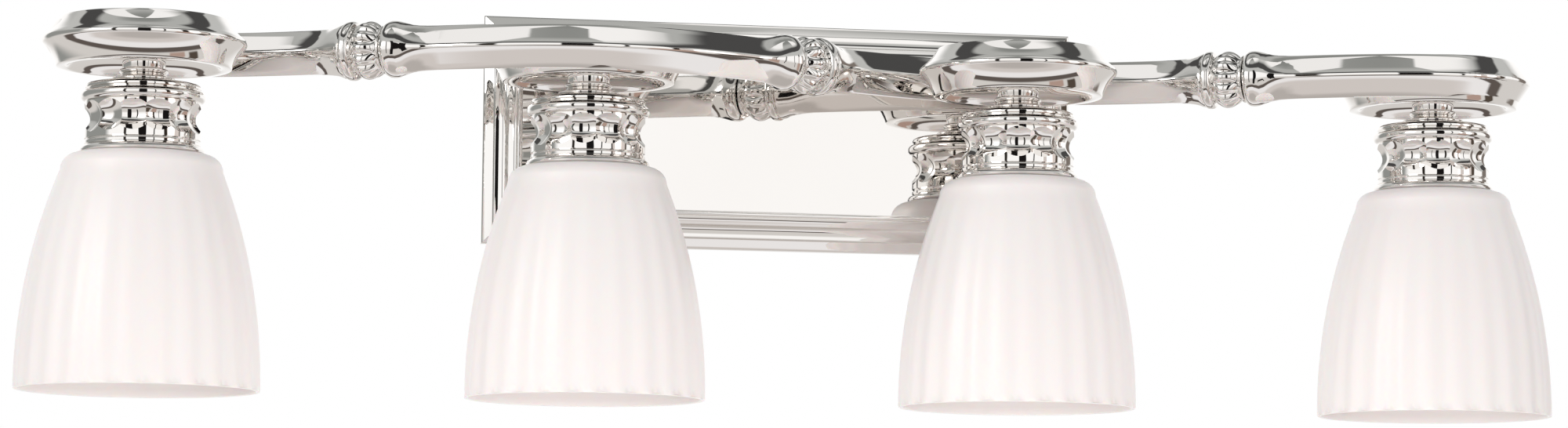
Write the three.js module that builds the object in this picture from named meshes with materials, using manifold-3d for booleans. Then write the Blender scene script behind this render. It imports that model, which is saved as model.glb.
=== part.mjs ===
// A four-lamp vanity light bar in polished nickel, with ribbed opal glass bell shades.
// Millimetres, +X to the right, +Y into the wall, +Z up.
// The origin is on the wall, at the middle of the bracket's rear face.
import * as THREE from "three";
import { mergeVertices } from "three/addons/utils/BufferGeometryUtils.js";
import Module from "manifold-3d";

const wasm = await Module();
wasm.setup();

// Fits
const seatGap = 0.3; // between two pieces that rest on each other
const slipGap = 0.4; // round a rod in its hole
const turnGap = 0.6; // round a piece that turns

// Overall layout
const lampCount = 4;
const lampPitch = 250;
const plateOverhang = 50; // from a boss to the plate's end
const plateHeight = 133;
const ridgeHeight = 33; // ridge of the arms above the plate's middle

// Arms: a bar of lozenge section that waves round the rings
const armHalfWidth = 9;
const armHalfHeight = 12.5;
const armTopFlat = 3;
const armRidgeFlat = 1.6;
const wrapLength = 32; // length of an end arm that follows its ring's curve
const wireBore = 3.3;
const wireHole = 3; // from a bore into a ring's chamber

// Rings: heights are from the ridge
const ringRadius = 57;
const ringTopInset = 10.5; // ridge to the top's edge
const ringTop = 13;
const ringBottomInset = 8.5; // ridge to the underside's edge
const ringBottom = -14.3;
const lipWidth = 5.5;
const webUnderside = -5.8;
const webThickness = 2.5;
const chamberInset = 19; // ridge to the wire chamber's wall
const lidSeatWidth = 3.2;
const lidThickness = 2;
const lidTop = 12;

// Beads between the arms: lengths along the bead from its middle
const beadHalfLength = 12;
const beadRadius = 16.4;
const domeRadius = 16.8;
const bellRadius = 16.2;
const bellLength = 22;

// Threaded rods and nuts
const rodRadius = 5;
const rodBore = 3.2;
const rodGrip = 10; // how far a rod goes into what it holds
const nutRadius = 8.6;
const nutThickness = 4.5;

// Stem and fitter: heights are from the middle of the fitter's collar bead
const collarDrop = 31.5; // ridge to collar bead
const stemRadius = 12;
const stemFootRadius = 17.5;
const stemBeadRadius = 13.6;
const fitterTop = 9.7;
const fitterCollarRadius = 34.9;
const fitterBandRadius = 32.4;
const fitterWaistRadius = 27.8;
const fitterWaist = -13;
const fitterFlangeRadius = 35;
const fitterBottom = -31;
const fitterWall = 2;

// Shade
const shadeHeight = 131.2;
const shadeRimRadius = 68;
const shadeShoulderRadius = 45;
const shadeShoulder = 0.93; // where the shoulder starts, as a share of the height
const shadeTopRadius = 35.5;
const shadeBelly = 2.1; // how full the side is: 1 is a straight cone
const shadeWall = 3;
const shadeTopWall = 4;
const shadeHoleGap = 3.2; // round the lampholder

// Lampholder, shade ring and bulb
const holderWall = 2.7;
const holderBelowShade = 11;
const shadeRingLap = 3.7; // how far the shade ring reaches past the shade's hole
const shadeRingThickness = 6;
const bulbCapRadius = 13.2;
const bulbCapLength = 24;
const bulbCapInset = 3; // mouth of the holder to the cap's lower edge
const bulbContactRadius = 4.5;
const bulbContactHeight = 3;
const bulbContactGap = 1.5;
const bulbRadius = 30;
const bulbLength = 81;

// Back plate: a pan whose border is a stepped moulding
const plateWall = 1.5;
const plateFace = 18; // wall to the polished panel
const mouldingCrest = 20;
const mouldingWidth = 21;
const plateLip = 5;

// Wall bracket
const bracketThickness = 2.5;
const bracketStripHeight = 30;
const bracketLegWidth = 20;
const bracketTabDepth = 6;
const bracketTabThickness = 2;
const bracketSlotSpacing = 88.9;
const bracketSlotLength = 14;
const bracketSlotWidth = 5;
const lipScrewRadius = 1.5;
const lipScrewDepth = 3; // wall to the screw's axis

// Bosses between the plate and the rings
const bossRadius = 9;
const bossLength = 8;
const bossPad = 0.5; // how far the flat for a boss stands out of its ring
const studGrip = 5.5;

// How round each turned piece is
const ringSides = 16;
const roundSides = 12;
const smallSides = 12;
const rodSides = 8;
const armSteps = 14;

// Places that follow from the sizes above
const bossFace = plateFace + seatGap + bossLength + seatGap; // wall to a ring's pad
const standOff = bossFace + bossPad + ringRadius; // wall to the line through the lamps
const lampLine = -standOff;
const bossPlaces = [lampPlace(2), lampPlace(lampCount - 1)];
const plateWidth = bossPlaces[1] - bossPlaces[0] + 2 * plateOverhang;
const ringTopRadius = ringRadius - ringTopInset;
const ringBottomRadius = ringRadius - ringBottomInset;
const chamberRadius = ringRadius - chamberInset;
const lidRadius = chamberRadius + lidSeatWidth;
const waveDepth = ringRadius - armHalfWidth; // the arm's ridge meets the ring's
const waveSlope = Math.atan((waveDepth * Math.PI) / lampPitch);
const webTop = webUnderside + webThickness;
const lidBottom = lidTop - lidThickness;
const ledge = lidBottom - seatGap;
const rodHole = holeRadius(rodRadius, slipGap, rodSides);
const shadeTop = fitterBottom - seatGap;
const shadeUnderside = shadeTop - shadeTopWall;
const shadeRim = shadeTop - shadeHeight;
const holderBore = holeRadius(bulbCapRadius, turnGap, smallSides);
const holderRadius = holderBore + holderWall;
const shadeHoleRadius = holeRadius(holderRadius, shadeHoleGap, ringSides);
const shadeRingRadius = shadeHoleRadius + shadeRingLap;
const holderTop = fitterTop - fitterWall - seatGap;
const holderMouth = shadeUnderside - holderBelowShade;
const capBottom = holderMouth + bulbCapInset;
const capTop = capBottom + bulbCapLength;
const stemTop = collarDrop + webUnderside - seatGap;
const stemBottom = fitterTop + seatGap;
const lampRodBottom = holderTop - rodGrip + seatGap;
const lampRodTop = collarDrop + webTop + seatGap + nutThickness + 2;
const mouth = beadHalfLength + seatGap; // bead's middle to an arm's end
const studStart = ringRadius - studGrip + seatGap;
const studLength = standOff - plateFace + plateWall + seatGap + nutThickness + 1.5 - studStart;
const bracketReach = plateHeight / 2 - plateWall - 2.5; // middle to the end of a leg

const finishes = {
  nickel: { color: 0xd9d6d1, metalness: 1, roughness: 0.08 },
  steel: { color: 0xa9abad, metalness: 0.9, roughness: 0.4 },
  brass: { color: 0xb89a5a, metalness: 1, roughness: 0.35 },
  aluminium: { color: 0xbcbcbb, metalness: 1, roughness: 0.35 },
  porcelain: { color: 0xefece6, metalness: 0, roughness: 0.3 },
  opal: { color: 0xf7f1ee, metalness: 0, roughness: 0.25 },
  bulb: { color: 0xf4f4f2, metalness: 0, roughness: 0.35 },
};

// Where a lamp stands along the bar, counted from 1 at the left
function lampPlace(number) {
  return (number - (lampCount + 1) / 2) * lampPitch;
}

// A hole of flat sides that keeps the gap to a rod of the given radius all round
function holeRadius(radius, gap, sides) {
  return (radius + gap) / Math.cos(Math.PI / sides);
}

// A solid turned about +Z from [radius, height] points, which start and end on the axis
// or close on themselves
function turned(points, sides) {
  const onAxis = points[0][0] === 0 && points[points.length - 1][0] === 0;
  const loop = onAxis ? points : [...points, points[0]];
  const outline = loop.map(([radius, height]) => new THREE.Vector2(radius, height));
  if (THREE.ShapeUtils.area(outline) < 0) outline.reverse();
  return new THREE.LatheGeometry(outline, sides).rotateX(Math.PI / 2);
}

// A turned solid laid along +X
function turnedAlongX(points, sides) {
  return turned(points, sides).rotateY(Math.PI / 2);
}

// A round tube, or a plain rod where the bore is 0, from one height to another
function rodPoints(radius, bore, from, to) {
  return [
    [bore, from],
    [radius, from],
    [radius, to],
    [bore, to],
  ];
}

function extruded(outline, depth) {
  return new THREE.ExtrudeGeometry(outline, { depth, bevelEnabled: false });
}

function solidOf(geometry) {
  const bare = geometry.clone();
  bare.deleteAttribute("normal");
  bare.deleteAttribute("uv");
  const merged = mergeVertices(bare, 1e-3);
  return new wasm.Manifold(
    new wasm.Mesh({
      numProp: 3,
      vertProperties: merged.attributes.position.array,
      triVerts: new Uint32Array(merged.index.array),
    }),
  );
}

function geometryOf(solid) {
  const mesh = solid.getMesh();
  const geometry = new THREE.BufferGeometry();
  geometry.setAttribute("position", new THREE.BufferAttribute(mesh.vertProperties, 3));
  geometry.setIndex(new THREE.BufferAttribute(mesh.triVerts, 1));
  const faceted = geometry.toNonIndexed();
  faceted.computeVertexNormals();
  return faceted;
}

// The first pieces joined into one, with the second list cut out of it
function shaped(pieces, cuts) {
  let solid = solidOf(pieces[0]);
  for (const piece of pieces.slice(1)) solid = solid.add(solidOf(piece));
  for (const cut of cuts) solid = solid.subtract(solidOf(cut));
  return geometryOf(solid);
}

function piece(name, geometry, finish) {
  const mesh = new THREE.Mesh(geometry, new THREE.MeshStandardMaterial(finishes[finish]));
  mesh.name = name;
  return mesh;
}

// The arm's centre line seen from its own ring: a cosine wave that passes behind the ring
// (side 1) or in front of it (side -1). An end arm follows its ring on the side where it ends.
class ArmPath extends THREE.Curve {
  constructor(from, to, side, wrapEnd) {
    super();
    this.from = from;
    this.to = to;
    this.side = side;
    this.wrapEnd = wrapEnd;
  }

  getPoint(t, target = new THREE.Vector3()) {
    const along = THREE.MathUtils.lerp(this.from, this.to, t);
    const depth = this.side * waveDepth;
    if (along * this.wrapEnd > 0) {
      const turn = along / waveDepth;
      return target.set(waveDepth * Math.sin(turn), depth * Math.cos(turn), 0);
    }
    return target.set(along, depth * Math.cos((Math.PI * along) / lampPitch), 0);
  }
}

// The arm's section, with x up and y across
function armSection() {
  const flat = armTopFlat / 2;
  const ridge = armRidgeFlat / 2;
  const quarter = [
    [armHalfHeight, flat],
    [ridge, armHalfWidth],
  ];
  const corners = [
    ...quarter,
    ...quarter.map(([up, across]) => [-up, across]).reverse(),
    ...quarter.map(([up, across]) => [-up, -across]),
    ...quarter.map(([up, across]) => [up, -across]).reverse(),
  ];
  return new THREE.Shape(corners.map(([up, across]) => new THREE.Vector2(up, across)));
}

function roundSection(radius, sides) {
  const corner = (i) => {
    const angle = ((i + 0.5) * 2 * Math.PI) / sides;
    return new THREE.Vector2(radius * Math.cos(angle), radius * Math.sin(angle));
  };
  return new THREE.Shape(Array.from({ length: sides }, (unused, i) => corner(i)));
}

function swept(outline, path, steps) {
  return new THREE.ExtrudeGeometry(outline, { steps, extrudePath: path });
}

// A turned ring with a dished web under its wire chamber. Heights are from the ridge.
function ringPoints() {
  const lipRadius = ringBottomRadius - lipWidth;
  return [
    [ringTopRadius, ringTop],
    [(ringTopRadius + ringRadius) / 2 - 1.5, ringTop / 2 + 0.5],
    [ringRadius - 1.2, ringTop * 0.2],
    [ringRadius, 0],
    [ringRadius - 1.2, ringBottom * 0.2],
    [(ringBottomRadius + ringRadius) / 2 - 1.4, ringBottom / 2 - 0.8],
    [ringBottomRadius, ringBottom],
    [lipRadius, ringBottom],
    [lipRadius - 4.5, (ringBottom + webUnderside) / 2 + 0.6],
    [(lipRadius + stemRadius) / 2, webUnderside - 0.9],
    [stemRadius, webUnderside],
    [rodHole, webUnderside],
    [rodHole, webTop],
    [chamberRadius, webTop],
    [chamberRadius, ledge],
    [lidRadius + seatGap, ledge],
    [lidRadius + seatGap, ringTop],
  ];
}

// The arm's end at a bead, a bell whose mouth faces the bead. Heights are from the bead's middle.
function bellPoints() {
  return [
    [0, mouth],
    [bellRadius - 1.6, mouth],
    [bellRadius, mouth + bellLength * 0.1],
    [bellRadius, mouth + bellLength * 0.24],
    [armHalfHeight + 1.3, mouth + bellLength * 0.5],
    [armHalfWidth, mouth + bellLength],
    [0, mouth + bellLength],
  ];
}

// A piece made along +X, turned to run from the bead at a casting's left (-1) or right (1) end
// towards the casting's ring, and moved there
function fromBead(geometry, end, side) {
  geometry.rotateZ(end < 0 ? side * waveSlope : Math.PI - side * waveSlope);
  return geometry.translate((end * lampPitch) / 2, 0, 0);
}

// A round hole that runs out from the chamber of a ring, behind it (side 1) or in front (side -1)
function radialHole(radius, from, to, side) {
  return turned(rodPoints(radius, 0, from, to), rodSides).rotateX((-side * Math.PI) / 2);
}

// One ring with its arms, hollow for the wires
function armCasting(side, ends, hasBoss) {
  const inset = (mouth + 2) * Math.cos(waveSlope);
  const from = ends.includes(-1) ? inset - lampPitch / 2 : -wrapLength;
  const to = ends.includes(1) ? lampPitch / 2 - inset : wrapLength;
  const wrapEnd = ends.length > 1 ? 0 : -ends[0];
  const path = new ArmPath(from, to, side, wrapEnd);
  const steps = ends.length > 1 ? armSteps : armSteps - 4;
  const pieces = [turned(ringPoints(), ringSides), swept(armSection(), path, steps)];
  const boreFrom = ends.includes(-1) ? from : 0;
  const boreTo = ends.includes(1) ? to : 0;
  const borePath = new ArmPath(boreFrom, boreTo, side, 0);
  const cuts = [
    swept(roundSection(wireBore, rodSides - 2), borePath, steps),
    radialHole(wireHole, chamberRadius - 5, waveDepth + 1, side),
  ];
  for (const end of ends) {
    pieces.push(fromBead(turnedAlongX(bellPoints(), roundSides), end, side));
    const grip = rodPoints(rodHole, 0, beadHalfLength, mouth + rodGrip + seatGap);
    cuts.push(fromBead(turnedAlongX(grip, rodSides), end, side));
  }
  if (hasBoss) {
    const pad = rodPoints(bossRadius, 0, waveDepth, ringRadius + bossPad);
    pieces.push(turned(pad, smallSides).rotateX(-Math.PI / 2));
    cuts.push(radialHole(wireHole, chamberRadius - 5, ringRadius - studGrip + 1, 1));
    cuts.push(radialHole(rodHole, ringRadius - studGrip, ringRadius + 2 * bossPad, 1));
  }
  return shaped(pieces, cuts);
}

function lid() {
  const points = [
    [0, lidBottom],
    [lidRadius, lidBottom],
    [lidRadius, lidTop - 0.6],
    [lidRadius - 1.2, lidTop],
    [0, lidTop],
  ];
  return turned(points, ringSides);
}

// A hexagon nut that sits on the plane z = 0
function nut() {
  const outline = roundSection(nutRadius, 6);
  outline.holes.push(roundSection(rodHole, rodSides));
  return extruded(outline, nutThickness);
}

// A bead: a dome, a swelling barrel and a thin collar along +X, with the dome at the far end
function bead() {
  const points = [
    [rodHole, -beadHalfLength],
    [domeRadius - 3, -beadHalfLength],
    [domeRadius - 2, -beadHalfLength + 1.4],
    [domeRadius - 3.6, -beadHalfLength + 3],
    [beadRadius - 0.8, -beadHalfLength * 0.4],
    [beadRadius, -beadHalfLength * 0.05],
    [domeRadius - 3.4, beadHalfLength * 0.35],
    [domeRadius, beadHalfLength * 0.6],
    [domeRadius, beadHalfLength * 0.8],
    [domeRadius - 2, beadHalfLength],
    [rodHole, beadHalfLength],
  ];
  return turnedAlongX(points, roundSides);
}

function stem() {
  const neck = (stemTop + stemBottom) / 2;
  const points = [
    [rodHole, stemBottom],
    [stemFootRadius, stemBottom],
    [stemFootRadius - 0.6, stemBottom + 1.1],
    [stemRadius + 0.9, stemBottom + 2.8],
    [stemRadius + 0.2, neck - 3.4],
    [stemBeadRadius, neck - 2],
    [stemRadius, neck - 0.6],
    [stemRadius, stemTop],
    [rodHole, stemTop],
  ];
  return turned(points, smallSides);
}

// The fitter is a cap with a waist, which holds the shade's top. Heights are from its collar bead.
function fitter() {
  const flange = fitterBottom + 2.5;
  const outside = [
    [rodHole, fitterTop],
    [stemFootRadius + 0.2, fitterTop],
    [fitterCollarRadius - 8, fitterTop - 1.5],
    [fitterBandRadius, fitterTop - 4.6],
    [fitterCollarRadius, 0.3],
    [fitterBandRadius + 0.3, -3.2],
    [fitterBandRadius, fitterWaist + 5.6],
    [fitterWaistRadius, fitterWaist],
    [fitterBandRadius, fitterWaist - 8.5],
    [fitterBandRadius, flange + 4],
    [fitterFlangeRadius, flange],
    [fitterFlangeRadius - 1, fitterBottom],
  ];
  const inside = [
    [fitterBandRadius - fitterWall, fitterBottom],
    [fitterBandRadius - fitterWall, fitterWaist - 8],
    [fitterWaistRadius - fitterWall, fitterWaist],
    [fitterBandRadius - fitterWall, fitterWaist + 6.5],
    [fitterBandRadius - fitterWall, fitterTop - 5],
    [fitterCollarRadius - 9, fitterTop - fitterWall - 1.2],
    [holderRadius + 1.5, fitterTop - fitterWall],
    [rodHole, fitterTop - fitterWall],
  ];
  return turned([...outside, ...inside], roundSides);
}

// The shade's outer radius at a share of its height: a bell that rounds over into its top
function bellShadeRadius(share) {
  if (share > shadeShoulder) {
    const over = (share - shadeShoulder) / (1 - shadeShoulder);
    return shadeTopRadius + (shadeShoulderRadius - shadeTopRadius) * Math.sqrt(1 - over * over);
  }
  const narrowing = Math.pow(share / shadeShoulder, shadeBelly);
  return shadeRimRadius - (shadeRimRadius - shadeShoulderRadius) * narrowing;
}

function shade() {
  const shares = [0, 0.25, 0.48, 0.68, 0.84, shadeShoulder, 0.98, 1];
  const outside = shares.map((share) => [
    bellShadeRadius(share),
    shadeRim + share * shadeHeight,
  ]);
  const insideHeight = shadeHeight - shadeTopWall;
  const inside = shares.map((share) => [
    bellShadeRadius(share) - shadeWall,
    shadeRim + share * insideHeight,
  ]);
  const hole = [
    [shadeHoleRadius, shadeTop],
    [shadeHoleRadius, shadeUnderside],
  ];
  return turned([...outside, ...hole, ...inside.reverse()], ringSides);
}

function lampHolder() {
  const boreTop = capTop + bulbContactHeight + bulbContactGap;
  const points = [
    [holderRadius, holderMouth],
    [holderRadius, holderTop],
    [rodHole, holderTop],
    [rodHole, holderTop - rodGrip],
    [wireHole, holderTop - rodGrip],
    [wireHole, boreTop],
    [holderBore, boreTop],
    [holderBore, holderMouth],
  ];
  return turned(points, smallSides);
}

function shadeRing() {
  const bore = holeRadius(holderRadius, turnGap, smallSides);
  const top = shadeUnderside - seatGap;
  return turned(rodPoints(shadeRingRadius, bore, top - shadeRingThickness, top), smallSides);
}

function bulbCap() {
  const points = [
    [0, capBottom],
    [bulbCapRadius, capBottom],
    [bulbCapRadius, capTop - 5],
    [bulbContactRadius, capTop],
    [bulbContactRadius, capTop + bulbContactHeight],
    [0, capTop + bulbContactHeight],
  ];
  return turned(points, smallSides);
}

// A pear-shaped bulb that hangs from the lower edge of its cap
function bulbGlass() {
  const neckTop = capBottom - seatGap;
  const points = [
    [0, neckTop],
    [bulbCapRadius - 0.8, neckTop],
    [bulbCapRadius - 0.4, capBottom - bulbLength * 0.08],
    [bulbRadius * 0.75, capBottom - bulbLength * 0.35],
    [bulbRadius * 0.96, capBottom - bulbLength * 0.52],
    [bulbRadius, capBottom - bulbLength * 0.64],
    [bulbRadius * 0.86, capBottom - bulbLength * 0.84],
    [bulbRadius * 0.45, capBottom - bulbLength * 0.97],
    [0, capBottom - bulbLength],
  ];
  return turned(points, smallSides);
}

// The plate is turned with four sides, then drawn out to its width, which keeps the mitres true.
// Each point is [inset from the edge, height off the wall].
function backPlate() {
  const outside = [
    [0, 0],
    [0, plateLip],
    [1.8, plateLip + 2],
    [5.8, plateLip + 4],
    [6, plateLip + 6],
    [10, plateLip + 7.5],
    [13.5, mouldingCrest - 4.5],
    [14, mouldingCrest - 3.5],
    [18, mouldingCrest - 0.8],
    [19, mouldingCrest],
    [mouldingWidth - 0.6, mouldingCrest],
    [mouldingWidth, plateFace],
  ];
  const inside = [
    [mouldingWidth - 1, plateFace - plateWall],
    [14.5, mouldingCrest - 5.5],
    [6.5, plateLip + 3.8],
    [plateWall, plateLip - 0.5],
    [plateWall, 0],
  ];
  const points = [...outside, [plateHeight / 2, plateFace], [plateHeight / 2, plateFace - plateWall]];
  const outline = [...points, ...inside].map(([inset, height]) => [
    (plateHeight / 2 - inset) * Math.SQRT2,
    height,
  ]);
  const middle = outline.findIndex(([radius]) => radius === 0);
  const loop = [...outline.slice(middle + 1), ...outline.slice(0, middle + 1)];
  const pan = turned(loop, 4).rotateZ(Math.PI / 4);
  const places = pan.getAttribute("position");
  const stretch = (plateWidth - plateHeight) / 2;
  for (let i = 0; i < places.count; i++) {
    const x = places.getX(i);
    if (Math.abs(x) > 1) places.setX(i, x + Math.sign(x) * stretch);
  }
  pan.rotateX(Math.PI / 2);
  const cuts = [];
  for (const x of bossPlaces) {
    const studHole = turned(rodPoints(rodHole, 0, 0, 2 * mouldingCrest), rodSides);
    cuts.push(studHole.rotateX(Math.PI / 2).translate(x, 0, ridgeHeight));
    const lipHole = rodPoints(lipScrewRadius + seatGap, 0, 0, 4 * plateWall);
    const lipPlace = [x, -lipScrewDepth, -plateHeight / 2 - plateWall];
    cuts.push(turned(lipHole, rodSides).translate(...lipPlace));
  }
  return shaped([pan], cuts);
}

// A strip across the wall box with a leg over each boss place, whose ends are bent forward:
// the plate hangs on the upper ones and its screws bear on the lower ones
function wallBracket() {
  const legHalf = bracketLegWidth / 2;
  const right = bossPlaces[1] + legHalf;
  const strip = new THREE.Shape([
    new THREE.Vector2(-right, -bracketStripHeight / 2),
    new THREE.Vector2(right, -bracketStripHeight / 2),
    new THREE.Vector2(right, bracketStripHeight / 2),
    new THREE.Vector2(-right, bracketStripHeight / 2),
  ]);
  const half = bracketSlotLength / 2 - bracketSlotWidth / 2;
  for (const x of [-bracketSlotSpacing / 2, bracketSlotSpacing / 2]) {
    const slot = new THREE.Path();
    slot.absarc(x + half, 0, bracketSlotWidth / 2, -Math.PI / 2, Math.PI / 2);
    slot.absarc(x - half, 0, bracketSlotWidth / 2, Math.PI / 2, (3 * Math.PI) / 2);
    strip.holes.push(slot);
  }
  const stripGeometry = new THREE.ExtrudeGeometry(strip, {
    depth: bracketThickness,
    bevelEnabled: false,
    curveSegments: 4,
  });
  const pieces = [stripGeometry.rotateX(Math.PI / 2)];
  for (const x of bossPlaces) {
    const leg = new THREE.BoxGeometry(bracketLegWidth, bracketThickness, 2 * bracketReach);
    pieces.push(leg.translate(x, -bracketThickness / 2, 0));
    for (const end of [-1, 1]) {
      const tab = new THREE.BoxGeometry(bracketLegWidth, bracketTabDepth, bracketTabThickness);
      const tabMiddle = end * (bracketReach - bracketTabThickness / 2);
      pieces.push(tab.translate(x, -bracketTabDepth / 2, tabMiddle));
    }
  }
  return shaped(pieces, []);
}

function lipScrew() {
  const length = plateHeight / 2 - bracketReach - seatGap;
  return turned(rodPoints(lipScrewRadius, 0, 0, length), rodSides);
}

function boss() {
  return turned(rodPoints(bossRadius, rodHole, 0, bossLength), smallSides);
}

const bar = new THREE.Group();
bar.add(piece("back_plate", backPlate(), "nickel"));
bar.add(piece("wall_bracket", wallBracket(), "steel"));

for (let number = 1; number <= lampCount; number++) {
  const side = number % 2 === 1 ? 1 : -1;
  const unit = new THREE.Group();
  unit.position.set(lampPlace(number), lampLine, ridgeHeight);
  bar.add(unit);

  const ends = [-1, 1].filter((end) => number + end >= 1 && number + end <= lampCount);
  const hasBoss = bossPlaces.includes(lampPlace(number));
  unit.add(piece(`arm_casting_${number}`, armCasting(side, ends, hasBoss), "nickel"));
  unit.add(piece(`ring_lid_${number}`, lid(), "nickel"));
  const rodNut = piece(`rod_nut_${number}`, nut(), "steel");
  rodNut.position.z = webTop + seatGap;
  unit.add(rodNut);

  const lamp = new THREE.Group();
  lamp.position.z = -collarDrop;
  unit.add(lamp);
  const rod = turned(rodPoints(rodRadius, rodBore, lampRodBottom, lampRodTop), rodSides);
  lamp.add(piece(`lamp_rod_${number}`, rod, "steel"));
  lamp.add(piece(`stem_${number}`, stem(), "nickel"));
  lamp.add(piece(`fitter_${number}`, fitter(), "nickel"));
  lamp.add(piece(`lamp_holder_${number}`, lampHolder(), "porcelain"));
  lamp.add(piece(`shade_${number}`, shade(), "opal"));
  lamp.add(piece(`shade_ring_${number}`, shadeRing(), "brass"));
  lamp.add(piece(`bulb_cap_${number}`, bulbCap(), "aluminium"));
  lamp.add(piece(`bulb_glass_${number}`, bulbGlass(), "bulb"));

  if (hasBoss) {
    const bossMesh = piece(`plate_boss_${number}`, boss(), "nickel");
    bossMesh.rotation.x = -Math.PI / 2;
    bossMesh.position.y = ringRadius + bossPad + seatGap;
    unit.add(bossMesh);
    const stud = turned(rodPoints(rodRadius, rodBore, 0, studLength), rodSides);
    const studMesh = piece(`plate_stud_${number}`, stud, "steel");
    studMesh.rotation.x = -Math.PI / 2;
    studMesh.position.y = studStart;
    unit.add(studMesh);
    const studNut = piece(`stud_nut_${number}`, nut(), "steel");
    studNut.rotation.x = -Math.PI / 2;
    studNut.position.y = standOff - plateFace + plateWall + seatGap;
    unit.add(studNut);
    const screw = piece(`lip_screw_${number}`, lipScrew(), "steel");
    screw.position.set(lampPlace(number), -lipScrewDepth, -plateHeight / 2);
    bar.add(screw);
  }

  if (number < lampCount) {
    const joint = new THREE.Group();
    joint.position.set(lampPlace(number) + lampPitch / 2, lampLine, ridgeHeight);
    joint.rotation.z = side > 0 ? Math.PI - waveSlope : waveSlope;
    joint.add(piece(`bead_${number}`, bead(), "nickel"));
    const reach = mouth + rodGrip;
    const joiner = turnedAlongX(rodPoints(rodRadius, rodBore, -reach, reach), rodSides);
    joint.add(piece(`bead_rod_${number}`, joiner, "steel"));
    bar.add(joint);
  }
}

export default bar;
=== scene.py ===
import math

import bmesh
import bpy
from mathutils import Matrix, Vector


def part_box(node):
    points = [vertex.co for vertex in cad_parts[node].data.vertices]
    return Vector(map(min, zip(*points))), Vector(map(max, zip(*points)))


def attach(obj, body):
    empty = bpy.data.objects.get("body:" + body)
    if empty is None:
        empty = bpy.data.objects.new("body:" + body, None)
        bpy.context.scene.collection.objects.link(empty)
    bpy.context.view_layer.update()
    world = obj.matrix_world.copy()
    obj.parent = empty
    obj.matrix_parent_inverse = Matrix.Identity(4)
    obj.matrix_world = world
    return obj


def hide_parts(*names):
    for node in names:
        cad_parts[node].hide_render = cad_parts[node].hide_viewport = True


# A four-lamp vanity light bar in polished nickel with fluted opal shades.
# Sizes in the dictionaries are millimetres. A profile point is [radius, height].

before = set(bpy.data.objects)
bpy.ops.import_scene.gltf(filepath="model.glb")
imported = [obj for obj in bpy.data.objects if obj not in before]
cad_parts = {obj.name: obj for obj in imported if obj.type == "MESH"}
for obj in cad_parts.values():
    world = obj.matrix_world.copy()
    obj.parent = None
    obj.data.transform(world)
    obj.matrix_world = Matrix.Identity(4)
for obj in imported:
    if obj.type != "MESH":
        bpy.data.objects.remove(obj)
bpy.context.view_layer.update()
mm = 0.001
weldGap = 0.002 * mm  # verts closer than this are merged
levelGap = 0.01 * mm  # a vert this near a height or face lies on it
pickGap = 0.02 * mm  # how far a vert may stand from where it is looked for
lampNumbers = [1, 2, 3, 4]
beadNumbers = [1, 2, 3]
bossNumbers = [2, 3]
print("frame loaded")


# Places, read off the frame

def middleOf(node):
    low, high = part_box(node)
    return (low + high) / 2


lampSpots = {n: Vector((middleOf(f"stem_{n}").x, middleOf(f"stem_{n}").y)) for n in lampNumbers}
ridgeHeight = middleOf("bead_1").z
lampPitch = lampSpots[2].x - lampSpots[1].x
collarHeight = ridgeHeight - 31.5 * mm
plateLow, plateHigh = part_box("back_plate")


# Small helpers for modelling

def deselectAll():
    for item in bpy.context.selected_objects:
        item.select_set(False)


def makeActive(piece):
    deselectAll()
    piece.select_set(True)
    bpy.context.view_layer.objects.active = piece


def chooseVerts(piece, test):
    shape = bmesh.from_edit_mesh(piece.data)
    for vert in shape.verts:
        vert.select = bool(test(vert.co))
    shape.select_flush_mode()
    bmesh.update_edit_mesh(piece.data)


def applyPlace(piece):
    makeActive(piece)
    bpy.ops.object.transform_apply(location=True, rotation=True, scale=True)


def applyModifiers(piece):
    makeActive(piece)
    for modifier in list(piece.modifiers):
        bpy.ops.object.modifier_apply(modifier=modifier.name)


def softenEdges(piece, width, angle=32, segments=2):
    bevel = piece.modifiers.new("softEdges", "BEVEL")
    bevel.width = width * mm
    bevel.segments = segments
    bevel.limit_method = "ANGLE"
    bevel.angle_limit = math.radians(angle)
    bevel.use_clamp_overlap = True
    applyModifiers(piece)


def smoothByAngle(piece, angle=34):
    makeActive(piece)
    bpy.ops.object.shade_smooth_by_angle(angle=math.radians(angle))


def outwardNormals():
    bpy.ops.mesh.select_all(action="SELECT")
    bpy.ops.mesh.remove_doubles(threshold=weldGap)
    bpy.ops.mesh.normals_make_consistent(inside=False)


def arcPoints(centre, size, start, end, steps):
    # points on an arc about centre, angles in degrees from straight out towards up
    points = []
    for step in range(steps + 1):
        angle = math.radians(start + (end - start) * step / steps)
        points.append([centre[0] + size * math.cos(angle), centre[1] + size * math.sin(angle)])
    return points


def curvePoints(start, bend, end, steps):
    # a smooth run from start to end that leans towards bend
    points = []
    for step in range(steps + 1):
        t = step / steps
        points.append([
            (1 - t) ** 2 * start[i] + 2 * t * (1 - t) * bend[i] + t * t * end[i] for i in (0, 1)
        ])
    return points


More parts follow.
